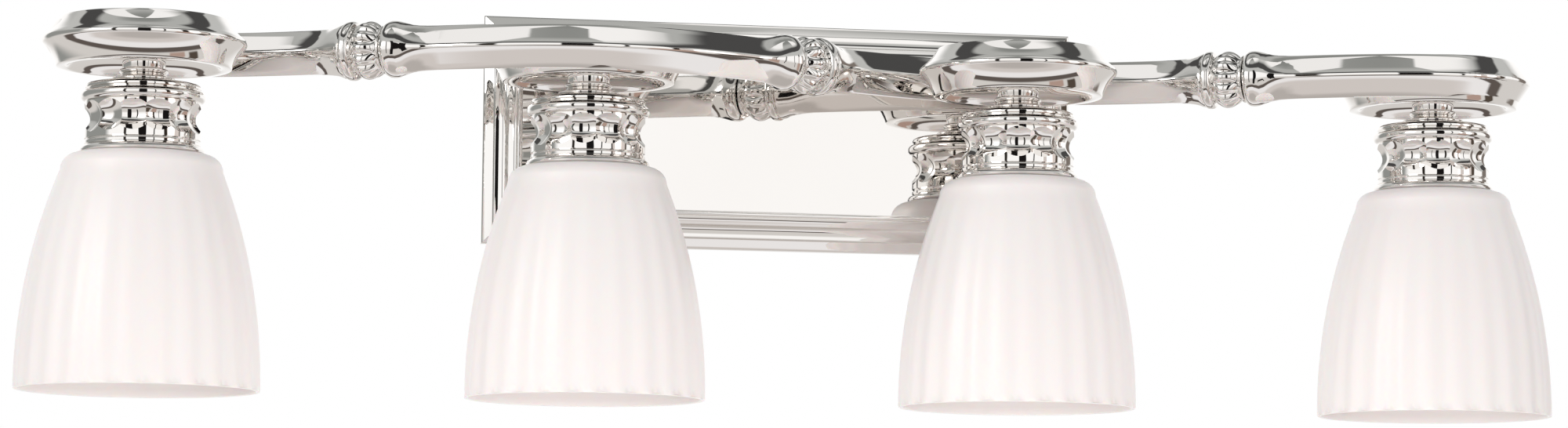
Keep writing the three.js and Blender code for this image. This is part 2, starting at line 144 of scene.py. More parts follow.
def turnProfile(name, profile, sides, bevel=0.25, ends="loop"):
    # a circle drawn up through the profile, then closed on itself or at its two ends
    deselectAll()
    radius, height = profile[0]
    bpy.ops.mesh.primitive_circle_add(vertices=sides, radius=radius * mm,
                                      location=(0, 0, height * mm))
    piece = bpy.context.object
    piece.name = name
    applyPlace(piece)
    bpy.ops.object.mode_set(mode="EDIT")
    bpy.ops.mesh.select_all(action="SELECT")
    for nextRadius, nextHeight in profile[1:]:
        rise = (nextHeight - height) * mm
        bpy.ops.mesh.extrude_region_move(TRANSFORM_OT_translate={"value": (0, 0, rise)})
        ratio = nextRadius / radius
        bpy.ops.transform.resize(value=(ratio, ratio, 1), center_override=(0, 0, nextHeight * mm))
        radius, height = nextRadius, nextHeight
    if ends == "loop":
        bpy.ops.mesh.select_all(action="DESELECT")
        bpy.ops.mesh.select_non_manifold()
        bpy.ops.mesh.bridge_edge_loops()
    else:
        for endHeight in (profile[0][1], profile[-1][1]):
            bpy.ops.mesh.select_all(action="DESELECT")
            bpy.ops.mesh.select_non_manifold()
            closeHere(piece, endHeight * mm)
    outwardNormals()
    bpy.ops.object.mode_set(mode="OBJECT")
    if bevel:
        softenEdges(piece, bevel)
    return piece


def closeHere(piece, height):
    # the open edge at this height is drawn in to a point on the axis
    shape = bmesh.from_edit_mesh(piece.data)
    for vert in shape.verts:
        vert.select = vert.select and abs(vert.co.z - height) < levelGap
    shape.select_flush_mode()
    bmesh.update_edit_mesh(piece.data)
    bpy.ops.mesh.extrude_region_move(TRANSFORM_OT_translate={"value": (0, 0, 0)})
    bpy.ops.mesh.merge(type="CENTER")


def columnStep(co, count, perLobe):
    # how many columns a point stands from the middle of its lobe
    turn = (math.atan2(co.y, co.x) / (2 * math.pi)) * count
    return round(abs(turn - round(turn)) * perLobe)


def shapeColumns(piece, count, perLobe, bands, radialFactor, heightFactor=None, centreHeight=0):
    # each column of verts in the bands is drawn in towards the axis, row by row
    bpy.ops.object.mode_set(mode="EDIT")
    for step in range(perLobe // 2 + 1):
        share = step / (perLobe / 2)
        for radius, height in bands:
            factor = radialFactor(share, radius, height)
            if abs(factor - 1) < 1e-5:
                continue
            chooseVerts(piece, lambda co: abs(co.z - height * mm) < pickGap
                        and abs(math.hypot(co.x, co.y) - radius * mm) < pickGap
                        and columnStep(co, count, perLobe) == step)
            bpy.ops.transform.resize(value=(factor, factor, 1), center_override=(0, 0, 0))
    if heightFactor:
        low = min(height for radius, height in bands) - 0.02
        high = max(height for radius, height in bands) + 0.02
        outer = min(radius for radius, height in bands) * 0.98
        for step in range(perLobe // 2 + 1):
            factor = heightFactor(step / (perLobe / 2))
            chooseVerts(piece, lambda co: low * mm < co.z < high * mm
                        and math.hypot(co.x, co.y) > outer * mm
                        and columnStep(co, count, perLobe) == step)
            bpy.ops.transform.resize(value=(1, 1, factor),
                                     center_override=(0, 0, centreHeight * mm))
    bpy.ops.object.mode_set(mode="OBJECT")


def copyOf(piece, name):
    made = piece.copy()
    made.data = piece.data.copy()
    made.name = name
    bpy.context.scene.collection.objects.link(made)
    return made


def discard(piece):
    bpy.data.objects.remove(piece)


def finishPiece(piece, material, slotName, body, *nodes):
    piece.data.materials.clear()
    piece.data.materials.append(material)
    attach(piece, body)
    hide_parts(*nodes)


def placeAtLamps(master, title, node, material, slotName, body="fixture", height=collarHeight):
    # one copy of the master under each ring
    for n in lampNumbers:
        piece = copyOf(master, f"{title}_{n}")
        piece.location = (lampSpots[n].x, lampSpots[n].y, height)
        applyPlace(piece)
        owner = body if body == "fixture" else f"{body}_{n}"
        finishPiece(piece, material, slotName, owner, f"{node}_{n}")
    discard(master)


# Shader groups that several finishes share

def addNode(tree, kind, values=None, settings=None):
    made = tree.nodes.new(kind)
    for key, value in (settings or {}).items():
        setattr(made, key, value)
    for key, value in (values or {}).items():
        if isinstance(value, bpy.types.NodeSocket):
            tree.links.new(value, made.inputs[key])
        else:
            made.inputs[key].default_value = value
    return made


def startGroup(name, inputs, outputs):
    group = bpy.data.node_groups.new(name, "ShaderNodeTree")
    for label, value in inputs.items():
        socket = group.interface.new_socket(name=label, in_out="INPUT",
                                            socket_type="NodeSocketFloat")
        socket.default_value = value
    for label in outputs:
        group.interface.new_socket(name=label, in_out="OUTPUT", socket_type="NodeSocketFloat")
    entry = group.nodes.new("NodeGroupInput")
    leave = group.nodes.new("NodeGroupOutput")
    return group, entry, leave


def makeBuffGroup():
    # the faint cloudiness and fine lines that a buffing wheel leaves
    group, entry, leave = startGroup("buffing", {"Scale": 60, "Amount": 0.03, "Base": 0.04},
                                     ["Roughness", "Height"])
    place = addNode(group, "ShaderNodeTexCoord")
    cloud = addNode(group, "ShaderNodeTexNoise",
                    {"Vector": place.outputs["Object"], "Scale": entry.outputs["Scale"],
                     "Detail": 4})
    stretch = addNode(group, "ShaderNodeMapping",
                      {"Vector": place.outputs["Object"], "Scale": (1, 1, 9)})
    lines = addNode(group, "ShaderNodeTexNoise",
                    {"Vector": stretch.outputs["Vector"], "Scale": 420, "Detail": 2})
    both = addNode(group, "ShaderNodeMath", {0: cloud.outputs["Fac"], 1: lines.outputs["Fac"]},
                   {"operation": "MULTIPLY"})
    scaled = addNode(group, "ShaderNodeMath", {0: both.outputs[0], 1: entry.outputs["Amount"],
                                               2: entry.outputs["Base"]},
                     {"operation": "MULTIPLY_ADD"})
    group.links.new(scaled.outputs[0], leave.inputs["Roughness"])
    group.links.new(cloud.outputs["Fac"], leave.inputs["Height"])
    return group


def makeEdgeGroup():
    # a mask along outer edges, broken up by noise
    group, entry, leave = startGroup("edgeRub", {"Low": 0.52, "High": 0.6}, ["Mask"])
    place = addNode(group, "ShaderNodeTexCoord")
    shape = addNode(group, "ShaderNodeNewGeometry")
    edge = addNode(group, "ShaderNodeMapRange",
                   {"Value": shape.outputs["Pointiness"], "From Min": entry.outputs["Low"],
                    "From Max": entry.outputs["High"]})
    patch = addNode(group, "ShaderNodeTexNoise",
                    {"Vector": place.outputs["Object"], "Scale": 180, "Detail": 3})
    mask = addNode(group, "ShaderNodeMath", {0: edge.outputs[0], 1: patch.outputs["Fac"]},
                   {"operation": "MULTIPLY"})
    group.links.new(mask.outputs[0], leave.inputs["Mask"])
    return group


def makeDustGroup():
    # dust that settles on faces that look up
    group, entry, leave = startGroup("settledDust", {"Amount": 0.1}, ["Mask"])
    place = addNode(group, "ShaderNodeTexCoord")
    shape = addNode(group, "ShaderNodeNewGeometry")
    split = addNode(group, "ShaderNodeSeparateXYZ", {"Vector": shape.outputs["Normal"]})
    up = addNode(group, "ShaderNodeMapRange",
                 {"Value": split.outputs["Z"], "From Min": 0.55, "From Max": 1})
    grain = addNode(group, "ShaderNodeTexNoise",
                    {"Vector": place.outputs["Object"], "Scale": 260, "Detail": 5})
    thick = addNode(group, "ShaderNodeMath", {0: up.outputs[0], 1: grain.outputs["Fac"]},
                    {"operation": "MULTIPLY"})
    mask = addNode(group, "ShaderNodeMath", {0: thick.outputs[0], 1: entry.outputs["Amount"]},
                   {"operation": "MULTIPLY"})
    group.links.new(mask.outputs[0], leave.inputs["Mask"])
    return group


buffGroup = makeBuffGroup()
edgeGroup = makeEdgeGroup()
dustGroup = makeDustGroup()


def placeGroup(tree, group, values):
    made = tree.nodes.new("ShaderNodeGroup")
    made.node_tree = group
    for key, value in values.items():
        made.inputs[key].default_value = value
    return made


def mixColour(tree, mask, first, second):
    made = addNode(tree, "ShaderNodeMix", settings={"data_type": "RGBA"})
    tree.links.new(mask, made.inputs["Factor"])
    for key, value in ((6, first), (7, second)):
        if isinstance(value, bpy.types.NodeSocket):
            tree.links.new(value, made.inputs[key])
        else:
            made.inputs[key].default_value = (*value, 1)
    return made.outputs[2]


dustTone = (0.62, 0.60, 0.57)
edgeLow = 0.52  # how sharp an edge is where its rubbing starts


def makeFinish(name, look):
    # one finish: two tones in soft patches, rubbed edges and dust, with roughness and relief
    material = bpy.data.materials.new(name)
    material.use_nodes = True
    tree = material.node_tree
    shader = tree.nodes["Principled BSDF"]
    shader.inputs["Metallic"].default_value = look["metallic"]
    for key, value in look.get("sockets", {}).items():
        shader.inputs[key].default_value = value
    place = addNode(tree, "ShaderNodeTexCoord")
    patches = addNode(tree, "ShaderNodeTexNoise",
                      {"Vector": place.outputs["Object"], "Scale": look["patchScale"], "Detail": 3})
    tone = mixColour(tree, patches.outputs["Fac"], look["tone"], look["secondTone"])
    edges = placeGroup(tree, edgeGroup, {"Low": edgeLow, "High": look["edgeHigh"]})
    tone = mixColour(tree, edges.outputs["Mask"], tone, look["edgeTone"])
    dust = placeGroup(tree, dustGroup, {"Amount": look["dust"]})
    tone = mixColour(tree, dust.outputs["Mask"], tone, dustTone)
    tree.links.new(tone, shader.inputs["Base Color"])
    buff = placeGroup(tree, buffGroup,
                      {"Scale": look["buffScale"], "Amount": look["buffing"],
                       "Base": look["roughness"]})
    rough = addNode(tree, "ShaderNodeMath", {0: dust.outputs["Mask"], 1: buff.outputs["Roughness"]},
                    {"operation": "ADD"})
    tree.links.new(rough.outputs[0], shader.inputs["Roughness"])
    bump = addNode(tree, "ShaderNodeBump", {"Height": buff.outputs["Height"],
                                            "Strength": look["relief"], "Distance": 0.0004})
    tree.links.new(bump.outputs["Normal"], shader.inputs["Normal"])
    return material


finishLooks = {
    "polishedNickel": {
        "metallic": 1, "tone": (0.90, 0.882, 0.862), "secondTone": (0.87, 0.84, 0.81),
        "edgeTone": (0.93, 0.91, 0.88), "edgeHigh": 0.66, "patchScale": 9, "buffScale": 55,
        "buffing": 0.05, "roughness": 0.012, "relief": 0.012, "dust": 0.05},
    "zincSteel": {
        "metallic": 1, "tone": (0.60, 0.61, 0.62), "secondTone": (0.52, 0.52, 0.50),
        "edgeTone": (0.72, 0.72, 0.72), "edgeHigh": 0.6, "patchScale": 60, "buffScale": 120,
        "buffing": 0.3, "roughness": 0.24, "relief": 0.2, "dust": 0.25},
    "rawBrass": {
        "metallic": 1, "tone": (0.76, 0.60, 0.32), "secondTone": (0.66, 0.49, 0.25),
        "edgeTone": (0.86, 0.72, 0.44), "edgeHigh": 0.6, "patchScale": 80, "buffScale": 150,
        "buffing": 0.25, "roughness": 0.2, "relief": 0.12, "dust": 0.2},
    "rolledAluminium": {
        "metallic": 1, "tone": (0.78, 0.78, 0.77), "secondTone": (0.70, 0.70, 0.70),
        "edgeTone": (0.86, 0.86, 0.86), "edgeHigh": 0.6, "patchScale": 90, "buffScale": 160,
        "buffing": 0.22, "roughness": 0.22, "relief": 0.1, "dust": 0.1},
    "glazedPorcelain": {
        "metallic": 0, "tone": (0.90, 0.885, 0.85), "secondTone": (0.86, 0.84, 0.80),
        "edgeTone": (0.92, 0.91, 0.88), "edgeHigh": 0.6, "patchScale": 40, "buffScale": 70,
        "buffing": 0.1, "roughness": 0.14, "relief": 0.05, "dust": 0.15,
        "sockets": {"Coat Weight": 0.5, "Coat Roughness": 0.08}},
    "opalGlass": {
        "metallic": 0, "tone": (0.915, 0.885, 0.87), "secondTone": (0.93, 0.872, 0.865),
        "edgeTone": (0.95, 0.93, 0.92), "edgeHigh": 0.62, "patchScale": 12, "buffScale": 30,
        "buffing": 0.12, "roughness": 0.34, "relief": 0.03, "dust": 0.03,
        "sockets": {"IOR": 1.5, "Subsurface Weight": 0.25, "Subsurface Scale": 0.004}},
    "frostedBulb": {
        "metallic": 0, "tone": (0.93, 0.925, 0.91), "secondTone": (0.90, 0.90, 0.89),
        "edgeTone": (0.95, 0.95, 0.94), "edgeHigh": 0.62, "patchScale": 30, "buffScale": 90,
        "buffing": 0.1, "roughness": 0.36, "relief": 0.03, "dust": 0.05,
        "sockets": {"IOR": 1.5}},
}
finishes = {name: makeFinish(name, look) for name, look in finishLooks.items()}
print("finishes made")


# Rings and arms

ringSizes = {
    "radius": 57, "topRadius": 46.5, "top": 13, "bottomRadius": 48.5, "bottom": -14.3,
    "lip": 5.5, "nose": 2.6, "web": -5.8, "webTop": -3.3, "chamber": 38, "ledge": 9.7,
    "lidSeat": 41.5, "stemHole": 5.9, "sides": 192}
armSizes = {
    "halfWidth": 9, "halfHeight": 12.5, "waveDepth": 48, "mouth": 12.3, "step": 3,
    "sweep": 62, "taper": 46, "socket": 5.9, "socketDepth": 10, "tailSteps": 14,
    "tailShrink": 0.55, "waveSteps": 240, "wrapSteps": 80}
# how an arm swells at its end: [distance from the mouth, half width, half height, roundness]
bellStations = [
    [30, 9, 12.5, 0], [24, 9.5, 12.6, 0.16], [19, 10.4, 12.9, 0.34], [15, 11.7, 13.5, 0.54],
    [12, 13.2, 14.3, 0.72], [9.5, 14.7, 15.1, 0.86], [7.4, 15.7, 15.8, 0.96], [5.6, 16.1, 16.1, 1],
    [4, 16.2, 16.2, 1], [2.6, 16.1, 16.1, 1], [1.4, 15.7, 15.7, 1], [0.6, 15.1, 15.1, 1],
    [0.1, 14.4, 14.4, 1], [0, 13.6, 13.6, 1]]
trumpetStations = [
    [30, 9, 12.5, 0], [24, 9.3, 12.5, 0.16], [19, 9.9, 12.6, 0.34], [15, 10.8, 12.8, 0.54],
    [12, 11.7, 13.1, 0.72], [9.5, 12.6, 13.4, 0.86], [7.4, 13.4, 13.8, 0.96], [5.6, 14.1, 14.2, 1],
    [4, 14.7, 14.7, 1], [2.6, 15.2, 15.2, 1], [1.4, 15.6, 15.6, 1], [0.6, 15.7, 15.7, 1],
    [0.1, 15.4, 15.4, 1], [0, 14.8, 14.8, 1]]


def ringBody(name):
    size = ringSizes
    nose = size["nose"]
    shoulder = size["radius"] - 1.9  # where the ridge's round nose starts
    topEdge = [size["topRadius"], size["top"]]
    bottomEdge = [size["bottomRadius"], size["bottom"]]
    lipEdge = [size["bottomRadius"] - size["lip"], size["bottom"]]
    dishTurn = [lipEdge[0] - 5, size["web"] - 0.6]
    profile = [
        topEdge,
        *curvePoints(topEdge, [50.4, 6.2], [shoulder, 2.9], 10)[1:],
        *arcPoints((size["radius"] - nose, 0), nose, 50, -50, 8),
        *curvePoints([shoulder, -2.9], [51.2, -6.6], bottomEdge, 10)[1:],
        lipEdge,
        *curvePoints(lipEdge, dishTurn, [13, size["web"]], 14)[1:],
        [size["stemHole"], size["web"]],
        [size["stemHole"], size["webTop"]],
        [size["chamber"], size["webTop"]],
        [size["chamber"], size["ledge"]],
        [size["lidSeat"], size["ledge"]],
        [size["lidSeat"], size["top"]],
    ]
    return turnProfile(name, profile, size["sides"], bevel=0.3)


def fitSection(piece, halfWidth, halfHeight):
    # the chosen ring of verts gets this half width across Y and half height up Z
    shape = bmesh.from_edit_mesh(piece.data)
    chosen = [vert.co for vert in shape.verts if vert.select]
    across = max(abs(co.y) for co in chosen)
    up = max(abs(co.z) for co in chosen)
    value = (1, halfWidth * mm / across, halfHeight * mm / up)
    bpy.ops.transform.resize(value=value, center_override=(chosen[0].x, 0, 0))


def drawArm(piece, startX, direction, reach, ending):
    # from the ring of verts at startX the bar is drawn out to its bell, or to a tail that sinks away
    size = armSizes
    chooseVerts(piece, lambda co: abs(co.x - startX) < levelGap)
    travelled = 0
    rounded = 0
    stations = []
    plain = reach - (ending[0][0] if ending else size["taper"])
    steps = max(1, round(plain / size["step"]))
    stations += [[plain * (i + 1) / steps, size["halfWidth"], size["halfHeight"], 0]
                 for i in range(steps)]
    if ending:
        stations += [[reach - station[0], *station[1:]] for station in ending[1:]]
    else:
        for i in range(1, size["tailSteps"] + 1):
            share = i / size["tailSteps"]
            shrink = 1 - size["tailShrink"] * share * share
            stations.append([plain + size["taper"] * share, size["halfWidth"] * shrink,
                             size["halfHeight"] * shrink, 0])
    for distance, halfWidth, halfHeight, roundness in stations:
        move = direction * (distance - travelled) * mm
        bpy.ops.mesh.extrude_region_move(TRANSFORM_OT_translate={"value": (move, 0, 0)})
        if roundness > rounded:
            bpy.ops.transform.tosphere(value=(roundness - rounded) / (1 - rounded))
            rounded = roundness
        fitSection(piece, halfWidth, halfHeight)
        travelled = distance
    if ending:
        bpy.ops.mesh.extrude_region_move(TRANSFORM_OT_translate={"value": (0, 0, 0)})
        fitSection(piece, size["socket"], size["socket"])
        depth = -direction * size["socketDepth"] * mm
        bpy.ops.mesh.extrude_region_move(TRANSFORM_OT_translate={"value": (depth, 0, 0)})
    bpy.ops.mesh.extrude_region_move(TRANSFORM_OT_translate={"value": (0, 0, 0)})
    bpy.ops.mesh.merge(type="CENTER")


def wavePath(side, ends):
    # the arm's centre line seen from its ring, as points in millimetres
    depth = side * armSizes["waveDepth"]
    half = lampPitch / 2 / mm
    waveSteps, wrapSteps = armSizes["waveSteps"], armSizes["wrapSteps"]
    points = []
    if len(ends) == 2:
        for i in range(waveSteps + 1):
            along = -half + 2 * half * i / waveSteps
            points.append((along, depth * math.cos(math.pi * along / (2 * half))))
        return points
    for i in range(waveSteps // 2 + 1):
        along = half * (1 - i / (waveSteps // 2))
        points.append((ends[0] * along, depth * math.cos(math.pi * along / (2 * half))))
    wrap = armSizes["sweep"] + armSizes["taper"]
    for i in range(1, wrapSteps + 1):
        turn = wrap / armSizes["waveDepth"] * i / wrapSteps
        points.append((-ends[0] * armSizes["waveDepth"] * math.sin(turn), depth * math.cos(turn)))
    return points


def bentArm(name, side, ends):
    size = armSizes
    points = wavePath(side, ends)
    length = sum(math.dist(a, b) for a, b in zip(points, points[1:]))
    wrap = 0 if len(ends) == 2 else size["sweep"] + size["taper"]
    middle = length / 2 if wrap == 0 else length - wrap
    deselectAll()
    bpy.ops.mesh.primitive_circle_add(vertices=4, radius=1, rotation=(0, math.pi / 2, 0))
    piece = bpy.context.object
    piece.name = name
    applyPlace(piece)
    bpy.ops.object.mode_set(mode="EDIT")
    bpy.ops.mesh.select_all(action="SELECT")
    bpy.ops.transform.resize(value=(1, size["halfWidth"] * mm, size["halfHeight"] * mm),
                             center_override=(0, 0, 0))
    bpy.ops.mesh.bevel(offset=1.5 * mm, offset_type="OFFSET", segments=3, affect="VERTICES")
    bpy.ops.mesh.subdivide(number_cuts=3)
    fitSection(piece, size["halfWidth"], size["halfHeight"])
    bpy.ops.transform.translate(value=(middle * mm, 0, 0))
    ending = trumpetStations if side > 0 else bellStations
    drawArm(piece, middle * mm, -1, middle - size["mouth"], ending)
    if wrap == 0:
        drawArm(piece, middle * mm, 1, length - middle - size["mouth"], ending)
    else:
        drawArm(piece, middle * mm, 1, length - middle, None)
    outwardNormals()
    bpy.ops.object.mode_set(mode="OBJECT")
    line = bpy.data.curves.new(name + "Path", "CURVE")
    line.dimensions = "3D"
    line.twist_mode = "Z_UP"
    spline = line.splines.new("POLY")
    spline.points.add(len(points) - 1)
    for spot, (x, y) in zip(spline.points, points):
        spot.co = (x * mm, y * mm, 0, 1)
    guide = bpy.data.objects.new(name + "Path", line)
    bpy.context.scene.collection.objects.link(guide)
    bend = piece.modifiers.new("wave", "CURVE")
    bend.object = guide
    bend.deform_axis = "POS_X"
    applyModifiers(piece)
    discard(guide)
    makeActive(piece)
    bpy.ops.object.mode_set(mode="EDIT")
    outwardNormals()
    bpy.ops.object.mode_set(mode="OBJECT")
    return piece


ringMaster = ringBody("ringMaster")
for n in lampNumbers:
    side = 1 if n % 2 else -1
    ends = [end for end in (-1, 1) if 1 <= n + end <= len(lampNumbers)]
    arm = bentArm(f"ringArm_{n}", side, ends)
    ring = copyOf(ringMaster, f"ringPart_{n}")
    makeActive(arm)
    ring.select_set(True)
    bpy.ops.object.join()
    arm.location = (lampSpots[n].x, lampSpots[n].y, ridgeHeight)
    applyPlace(arm)
    smoothByAngle(arm, 30)
    finishPiece(arm, finishes["polishedNickel"], "nickel", "fixture", f"arm_casting_{n}")
discard(ringMaster)
print("rings and arms made")


# Lids that close the tops of the rings

lidSizes = {"radius": 41.2, "bottom": 10, "top": 12, "dish": 0.5}


def ringLid():
    size = lidSizes
    profile = [
        [6, size["bottom"]],
        [size["radius"], size["bottom"]],
        [size["radius"], size["top"] - 0.8],
        [size["radius"] - 1, size["top"]],
        [size["radius"] - 4, size["top"]],
        *curvePoints([size["radius"] - 4.4, size["top"] - size["dish"]],
                     [20, size["top"] - size["dish"]], [6, size["top"] - 0.1], 8),
    ]
    piece = turnProfile("lidMaster", profile, 128, bevel=0.15, ends="points")
    smoothByAngle(piece)
    return piece


placeAtLamps(ringLid(), "ringTopLid", "ring_lid", finishes["polishedNickel"], "nickel",
             height=ridgeHeight)
print("lids made")


# Beads between the arms

beadSizes = {
    "lobes": 12, "perLobe": 10, "valley": 2.3, "hole": 5.9, "halfLength": 12, "barrelFrom": -9.5,
    "barrelTo": 5.4, "barrel": 16.6, "barrelEnd": 12.2, "barrelShoulder": 13.4, "barrelRows": 18}


def gadroonBead():
    size = beadSizes
    lowEnd, highEnd = size["barrelFrom"], size["barrelTo"]
    barrel = []
    for i in range(size["barrelRows"] + 1):
        share = i / size["barrelRows"]
        end = size["barrelEnd"] + (size["barrelShoulder"] - size["barrelEnd"]) * share
        swell = math.sin(math.pi * share ** 1.15) ** 0.75
        barrel.append([end + (size["barrel"] - end) * swell, lowEnd + (highEnd - lowEnd) * share])
    profile = [
        [size["hole"], -size["halfLength"]],
        [12.4, -size["halfLength"]],
        *arcPoints((12.9, -11.1), 0.9, -80, 80, 6),
        [12.1, -9.9],
        *barrel,
        [13.2, 5.8],
        *curvePoints([14.0, 6.0], [16.9, 6.3], [16.8, 8.9], 7),
        *curvePoints([16.8, 9.5], [16.8, 11.5], [15.2, 11.9], 7),
        [14.4, size["halfLength"]],
        [size["hole"], size["halfLength"]],
    ]
    piece = turnProfile("beadMaster", profile, size["lobes"] * size["perLobe"], bevel=0)

    def drawIn(share, radius, height):
        along = (height - lowEnd) / (highEnd - lowEnd)
        fade = max(0, math.sin(math.pi * along)) ** 0.55
        return 1 - size["valley"] * fade * share ** 1.8 / radius

    shapeColumns(piece, size["lobes"], size["perLobe"], barrel[1:-1], drawIn)
    smoothByAngle(piece, 38)
    return piece


beadMaster = gadroonBead()
waveSlope = math.atan(armSizes["waveDepth"] * mm * math.pi / lampPitch)
for n in beadNumbers:
    bead = copyOf(beadMaster, f"gadroonBead_{n}")
    turn = math.pi - waveSlope if n % 2 else waveSlope
    bead.rotation_euler = (0, math.pi / 2, turn)
    bead.location = middleOf(f"bead_{n}")
    applyPlace(bead)
    finishPiece(bead, finishes["polishedNickel"], "nickel", "fixture", f"bead_{n}")
discard(beadMaster)
print("beads made")


# Stems, fitters and bosses

stemSizes = {"radius": 12, "top": 25.4, "bottom": 10, "foot": 17.5, "bead": 13.6, "hole": 5.9}


def stemTube():
    size = stemSizes
    profile = [
        [size["hole"], size["bottom"]],
        [size["foot"] - 0.3, size["bottom"]],
        *arcPoints((size["foot"] - 0.7, size["bottom"] + 0.7), 0.7, -60, 70, 5),
        *curvePoints([size["foot"] - 1, size["bottom"] + 1.6],
                     [size["radius"] + 1.4, size["bottom"] + 2],
                     [size["radius"] + 0.7, size["bottom"] + 3.6], 6),
        [size["radius"] - 0.3, size["bottom"] + 3.9],
        *arcPoints((size["bead"] - 1.3, size["bottom"] + 5.3), 1.3, -80, 80, 6),
        [size["radius"] - 0.3, size["bottom"] + 6.9],
        [size["radius"], size["bottom"] + 7.4],
        [size["radius"], size["top"]],
        [size["hole"], size["top"]],
    ]
    piece = turnProfile("stemMaster", profile, 96, bevel=0.15)
    smoothByAngle(piece)
    return piece


placeAtLamps(stemTube(), "stemTube", "stem", finishes["polishedNickel"], "nickel")

fitterSizes = {
    "scallops": 14, "perLobe": 10, "band": 32.4, "waist": 27.4, "waistMiddle": -11.9,
    "waistHalf": 8.7, "waistRows": 14, "ridgeHalf": 6.1, "ridgeRise": 2.1, "collar": 34.9,
    "flange": 35, "top": 9.7, "bottom": -31, "wall": 2, "hole": 5.9}


def scallopedFitter():
    size = fitterSizes
    band, bottom, top = size["band"], size["bottom"], size["top"]
    waist = []
    for i in range(size["waistRows"] + 1):
        t = 1 - 2 * i / size["waistRows"]
        waist.append([band - (band - size["waist"]) * (1 - t * t),
                      size["waistMiddle"] + t * size["waistHalf"]])
    profile = [
        [size["hole"], top],
        [17.7, top],
        [18.6, top - 0.5],
        *curvePoints([20.4, top - 0.8], [25, top - 0.9], [28.4, top - 1.7], 6),
        *curvePoints([29, top - 1.6], [32.9, top - 2.2], [32.2, top - 4.6], 7),
        [31.2, top - 5.2],
        [31.3, top - 5.7],
        *arcPoints((size["collar"] - 3.1, 0.7), 3.1, 72, -72, 14),
        [31.9, -2.5],
        [band, -2.9],
        *waist,
        [band, -23.4],
        [31.7, -23.9],
        [31.9, -24.5],
        [band, -24.9],
        [band, -26.3],
        [31.7, -26.8],
        *curvePoints([32.3, -27.1], [34.6, -27.5], [size["flange"], -29.6], 6),
        [size["flange"] - 0.3, -30.5],
        [size["flange"] - 1.2, bottom],
        [band - size["wall"], bottom],
        [band - size["wall"], size["waistMiddle"] - 9.4],
        [size["waist"] - size["wall"], size["waistMiddle"]],
        [band - size["wall"], size["waistMiddle"] + 9.4],
        [band - size["wall"], top - 5.6],
        [25.9, top - size["wall"] - 1.6],
        [size["hole"], top - size["wall"]],
    ]
    piece = turnProfile("fitterMaster", profile, size["scallops"] * size["perLobe"], bevel=0)

    def ridgeOut(share, radius, height):
        t = (height - size["waistMiddle"]) / size["waistHalf"]
        return 1 + size["ridgeRise"] * share * share * max(0, 1 - t * t) / radius

    def archDown(share):
        return 1 - (1 - size["ridgeHalf"] / size["waistHalf"]) * share * share

    shapeColumns(piece, size["scallops"], size["perLobe"], waist, ridgeOut, archDown,
                 size["waistMiddle"])
    smoothByAngle(piece, 26)
    return piece


placeAtLamps(scallopedFitter(), "fitterCap", "fitter", finishes["polishedNickel"], "nickel")

bossSizes = {"radius": 9, "length": 8, "hole": 5.9, "edge": 0.6, "waist": 1.6}


def plateBoss():
    size = bossSizes
    radius, length, edge = size["radius"], size["length"], size["edge"]
    profile = [
        [size["hole"], 0],
        [radius - edge, 0],
        [radius, edge],
        *curvePoints([radius, 2], [radius - size["waist"], length / 2], [radius, length - 2], 8),
        [radius, length - edge],
        [radius - edge, length],
        [size["hole"], length],
    ]
    piece = turnProfile("bossMaster", profile, 72, bevel=0)
    smoothByAngle(piece)
    return piece


bossMaster = plateBoss()
for n in bossNumbers:
    boss = copyOf(bossMaster, f"plateSpacer_{n}")
    boss.rotation_euler = (-math.pi / 2, 0, 0)
    low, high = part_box(f"plate_boss_{n}")
    boss.location = ((low.x + high.x) / 2, low.y, (low.z + high.z) / 2)
    applyPlace(boss)
    finishPiece(boss, finishes["polishedNickel"], "nickel", "fixture", f"plate_boss_{n}")
discard(bossMaster)
print("stems, fitters and bosses made")


# Shades

shadeSizes = {
    "height": 131.2, "rim": 68, "shoulder": 45, "shoulderShare": 0.93, "top": 35.5, "wall": 3,
    "topWall": 4, "hole": 20.6, "flutes": 26, "perFlute": 8, "fluteDepth": 1.25,
    "fluteFade": 0.97, "belly": 2.1, "topHeight": -31.3, "sideRows": 26, "shoulderRows": 7,
    "lipRise": 0.9}


def shadeRadius(share):
    size = shadeSizes
    if share > size["shoulderShare"]:
        over = (share - size["shoulderShare"]) / (1 - size["shoulderShare"])
        return size["top"] + (size["shoulder"] - size["top"]) * math.sqrt(max(0, 1 - over * over))
    narrowing = (share / size["shoulderShare"]) ** size["belly"]
    return size["rim"] - (size["rim"] - size["shoulder"]) * narrowing


